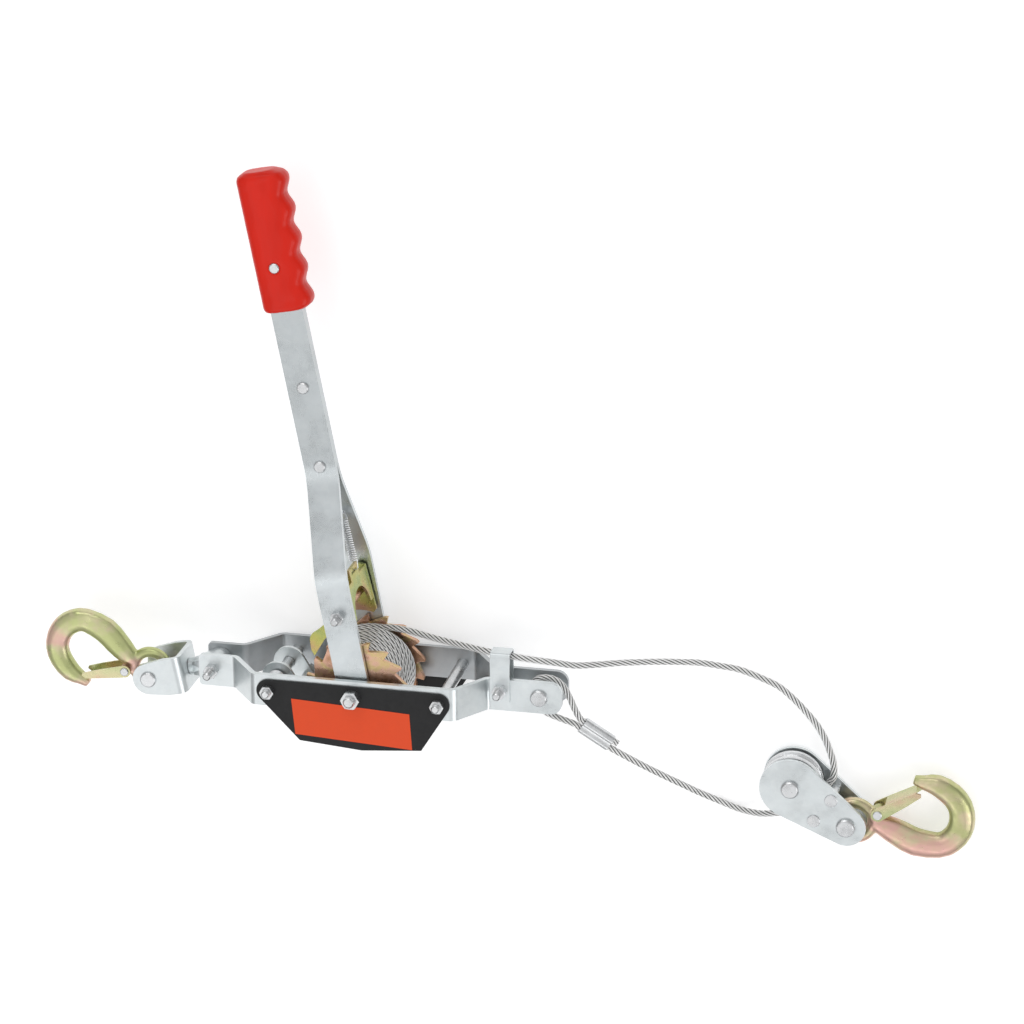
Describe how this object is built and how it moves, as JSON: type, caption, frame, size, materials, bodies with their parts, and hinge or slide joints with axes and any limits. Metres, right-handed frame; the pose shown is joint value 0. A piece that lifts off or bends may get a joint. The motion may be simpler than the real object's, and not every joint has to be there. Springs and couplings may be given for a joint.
{
  "type": "come along winch",
  "caption": "Hand ratchet puller: forked lever over a toothed rope drum in a bent strap frame, swivel anchor hook, and a rope doubled through a pulley block with a second latched hook.",
  "frame": {"origin": "on the drum axle, at the outer face of the axle bolt's head, which the winch lies on", "axes": "+X along the pull line from the anchor hook towards the load hook, +Y towards the handle's side, +Z along the drum axle, up"},
  "size_m": [0.7161, 0.5154, 0.1024],
  "materials": {
    "plate_zinc": "bluish zinc plate, satin",
    "bolt_zinc": "bright zinc plate",
    "guard_black": "near-black paint, semi-gloss",
    "label_orange": "orange film, blank",
    "rope_steel": "galvanised wire rope",
    "spring_steel": "zinc plated spring wire",
    "grip_red": "moulded red plastic, semi-gloss",
    "yellow_zinc": "yellow zinc plate with pink and green bloom",
    "ratchet_zinc": "copper-tinted yellow zinc plate"
  },
  "bodies": {
    "frame": {"front_plate": "plate_zinc", "rear_plate": "plate_zinc", "front_guard": "guard_black", "rear_guard": "guard_black", "label_panel": "label_orange", "axle_bolt": "bolt_zinc", "axle_nut": "bolt_zinc", "axle_washers": "bolt_zinc", "cross_bolts": "bolt_zinc", "cross_nuts": "bolt_zinc", "cross_spacers": "bolt_zinc", "guide_clip": "plate_zinc", "guide_bolt": "bolt_zinc", "guide_nut": "bolt_zinc", "rope_pin": "bolt_zinc", "swivel_bolt": "bolt_zinc", "swivel_nut": "bolt_zinc", "rope_pull_run": "rope_steel", "rope_return_run": "rope_steel", "rope_eye_loop": "rope_steel", "rope_ferrule": "bolt_zinc", "holding_spring": "spring_steel"},
    "handle": {"front_strap": "plate_zinc", "rear_strap": "plate_zinc", "strap_rivets": "bolt_zinc", "grip": "grip_red", "grip_rivet": "bolt_zinc", "pawl_bolt": "bolt_zinc", "pawl_nut": "bolt_zinc", "pawl_spacer": "yellow_zinc", "pawl_spring": "spring_steel"},
    "drive_pawl": {"drive_pawl": "yellow_zinc"},
    "holding_pawl": {"holding_pawl": "plate_zinc"},
    "drum": {"drum_tube": "ratchet_zinc", "front_ratchet": "ratchet_zinc", "rear_ratchet": "ratchet_zinc", "rope_inner_layers": "rope_steel", "rope_winding": "rope_steel"},
    "swivel": {"swivel_stud": "plate_zinc"},
    "clevis": {"clevis": "plate_zinc", "clevis_pin": "bolt_zinc"},
    "anchor_hook": {"anchor_hook": "yellow_zinc", "anchor_latch_rivet": "bolt_zinc", "anchor_latch_spring": "spring_steel"},
    "anchor_latch": {"anchor_latch": "yellow_zinc"},
    "pulley_block": {"block_front_plate": "plate_zinc", "block_rear_plate": "plate_zinc", "sheave_pin": "bolt_zinc", "block_spacers": "bolt_zinc", "hook_pin": "bolt_zinc", "rope_block_turn": "rope_steel"},
    "sheave": {"sheave": "bolt_zinc"},
    "load_hook": {"load_hook": "yellow_zinc", "load_latch_rivet": "bolt_zinc", "load_latch_spring": "spring_steel"},
    "load_latch": {"load_latch": "yellow_zinc"}
  },
  "joints": [
    {"name": "handle_swing", "type": "hinge", "parent": "frame", "child": "handle", "pos_m": [0, 0, 0.04878], "axis": [0, 0, 1], "range_deg": [-45, 22.5]},
    {"name": "drive_pawl_tilt", "type": "hinge", "parent": "handle", "child": "drive_pawl", "pos_m": [-0.01147, 0.06073, 0.04878], "axis": [0, 0, 1], "range_deg": [-8, 9], "deforming": ["pawl_spring"]},
    {"name": "holding_pawl_tilt", "type": "hinge", "parent": "frame", "child": "holding_pawl", "pos_m": [-0.065, 0, 0.04878], "axis": [0, 0, 1], "range_deg": [-6, 9.4], "deforming": ["holding_spring"]},
    {"name": "drum_spin", "type": "hinge", "parent": "frame", "child": "drum", "pos_m": [0, 0, 0.04878], "axis": [0, 0, 1], "range_deg": [-1395, 270]},
    {"name": "block_travel", "type": "slide", "parent": "frame", "child": "pulley_block", "axis": [1, 0, 0], "range_m": [-0.08, 0.4], "deforming": ["rope_pull_run", "rope_return_run"]},
    {"name": "sheave_spin", "type": "hinge", "parent": "pulley_block", "child": "sheave", "pos_m": [0.3223, -0.071, 0.017], "axis": [0, 0, 1], "range_deg": [-990, 195]},
    {"name": "swivel_swing", "type": "hinge", "parent": "frame", "child": "swivel", "pos_m": [-0.118, 0, 0.04878], "axis": [0, 0, 1], "range_deg": [-60, 60]},
    {"name": "clevis_spin", "type": "hinge", "parent": "swivel", "child": "clevis", "pos_m": [-0.118, 0, 0.04878], "axis": [-0.9816, -0.1908, 0], "continuous": true},
    {"name": "anchor_hook_swing", "type": "hinge", "parent": "clevis", "child": "anchor_hook", "pos_m": [-0.16708, -0.00954, 0.04878], "axis": [0, 0, 1], "range_deg": [-75, 75]},
    {"name": "anchor_latch_open", "type": "hinge", "parent": "anchor_hook", "child": "anchor_latch", "pos_m": [-0.19027, -0.01015, 0.04878], "axis": [0, 0, 1], "range_deg": [-33, 0], "stiffness_Nm_per_rad": 0.02, "springref_deg": 2.86},
    {"name": "load_hook_swing", "type": "hinge", "parent": "pulley_block", "child": "load_hook", "pos_m": [0.36496, -0.09839, 0.017], "axis": [0, 0, 1], "range_deg": [-75, 33]},
    {"name": "load_latch_open", "type": "hinge", "parent": "load_hook", "child": "load_latch", "pos_m": [0.38791, -0.0885, 0.017], "axis": [0, 0, 1], "range_deg": [-33, 0], "stiffness_Nm_per_rad": 0.02, "springref_deg": 2.86}
  ],
  "couplings": [
    {"joint": "block_travel", "follows": "drum_spin", "m_per_rad": -0.0162},
    {"joint": "sheave_spin", "follows": "drum_spin", "ratio": 0.704}
  ]
}
